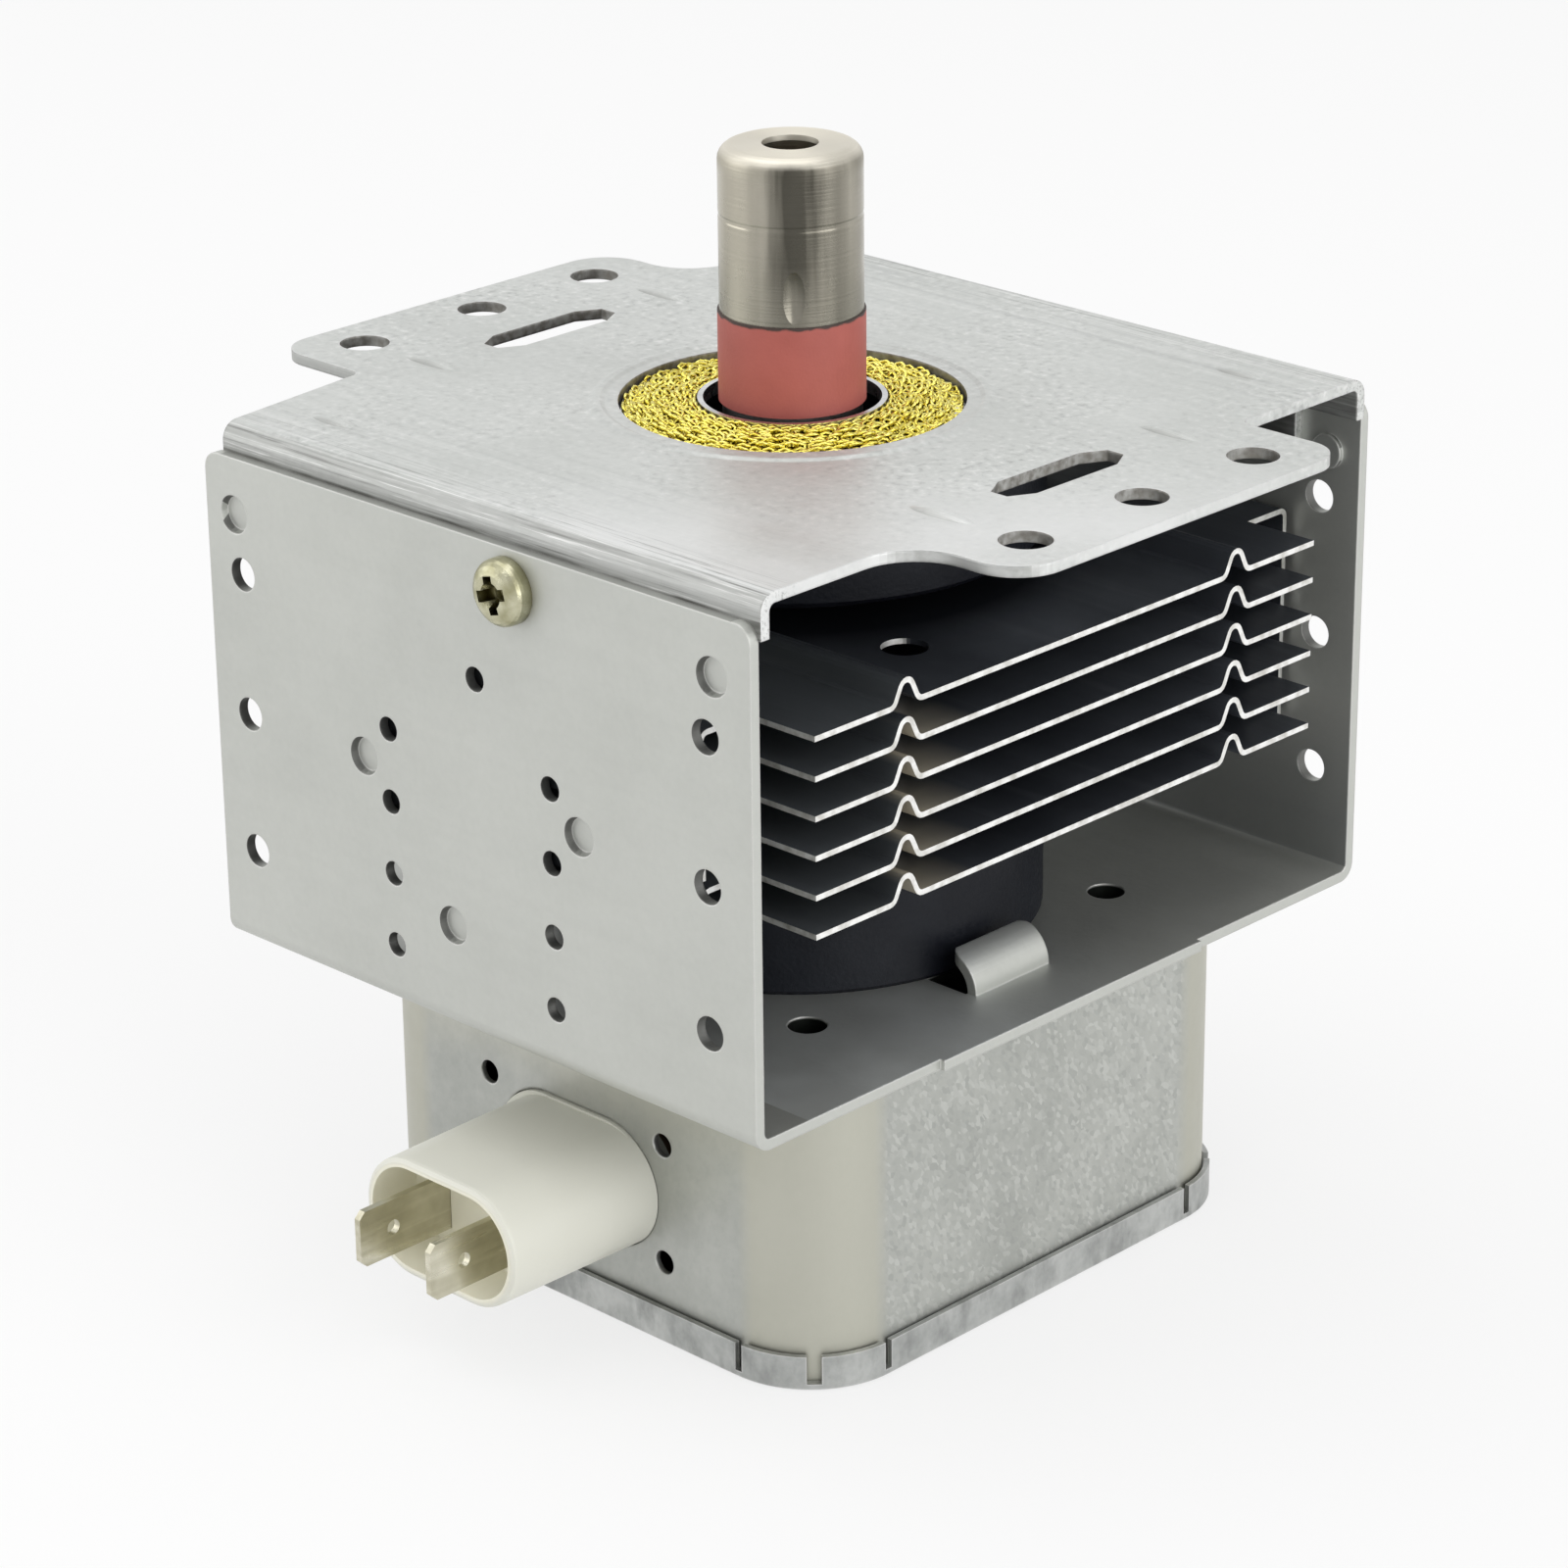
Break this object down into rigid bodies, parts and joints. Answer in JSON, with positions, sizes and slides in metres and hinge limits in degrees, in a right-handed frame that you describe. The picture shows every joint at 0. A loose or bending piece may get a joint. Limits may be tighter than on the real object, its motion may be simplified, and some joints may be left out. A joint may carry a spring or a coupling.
{
  "type": "microwave-oven magnetron",
  "caption": "Microwave-oven magnetron: folded steel yoke with cooling fins and ferrite ring magnets, antenna cap on top, filter box with a blade connector below",
  "frame": {"origin": "on the antenna axis, at the mounting face (upper face) of the top plate, midway between the rows of ear holes", "axes": "+Z along the antenna, -Y the wall above the connector, +X one of the two open sides that cooling air passes through"},
  "size_m": [0.109, 0.1107, 0.1221],
  "materials": {
    "galvanised_steel": "zinc coated sheet, satin",
    "yellow_zinc": "yellow zinc plate",
    "fin_aluminium": "rolled sheet, bright",
    "ferrite": "sintered ferrite, dark and smooth",
    "copper": "bare copper",
    "pole_iron": "plated iron",
    "seal_steel": "nickel plated steel",
    "pink_ceramic": "alumina, matt",
    "nickel_plate": "drawn steel, nickel plated",
    "ring_steel": "bright steel",
    "brass_mesh": "knitted brass wire",
    "tungsten": "dull grey metal",
    "spangled_steel": "galvanised sheet, grainy",
    "lid_steel": "galvanised sheet",
    "ivory_plastic": "moulded thermoplastic",
    "capacitor_ceramic": "potted ceramic block",
    "tinned_brass": "tinned strip",
    "enamelled_wire": "enamelled copper wire"
  },
  "bodies": {
    "root": {"top_plate": "galvanised_steel", "lower_yoke": "galvanised_steel", "wall_screws": "yellow_zinc", "fin_1": "fin_aluminium", "fin_2": "fin_aluminium", "fin_3": "fin_aluminium", "fin_4": "fin_aluminium", "fin_5": "fin_aluminium", "fin_6": "fin_aluminium", "upper_magnet": "ferrite", "lower_magnet": "ferrite", "left_choke_core": "ferrite", "right_choke_core": "ferrite", "anode_cylinder": "copper", "anode_vanes": "copper", "strap_rings": "copper", "exhaust_tube": "copper", "antenna_lead": "copper", "upper_pole_piece": "pole_iron", "lower_pole_piece": "pole_iron", "upper_seal_sleeve": "seal_steel", "lower_seal_sleeve": "seal_steel", "exhaust_seal": "seal_steel", "left_stem_terminal": "seal_steel", "right_stem_terminal": "seal_steel", "output_ceramic": "pink_ceramic", "stem_ceramic": "pink_ceramic", "antenna_cap": "nickel_plate", "gasket_ring": "ring_steel", "mesh_gasket": "brass_mesh", "cathode_filament": "tungsten", "upper_end_hat": "tungsten", "lower_end_hat": "tungsten", "centre_lead": "tungsten", "side_lead": "tungsten", "filter_box": "spangled_steel", "box_lid": "lid_steel", "connector_shell": "ivory_plastic", "capacitor_block": "capacitor_ceramic", "left_blade_terminal": "tinned_brass", "right_blade_terminal": "tinned_brass", "left_choke_coil": "enamelled_wire", "right_choke_coil": "enamelled_wire"}
  },
  "joints": []
}
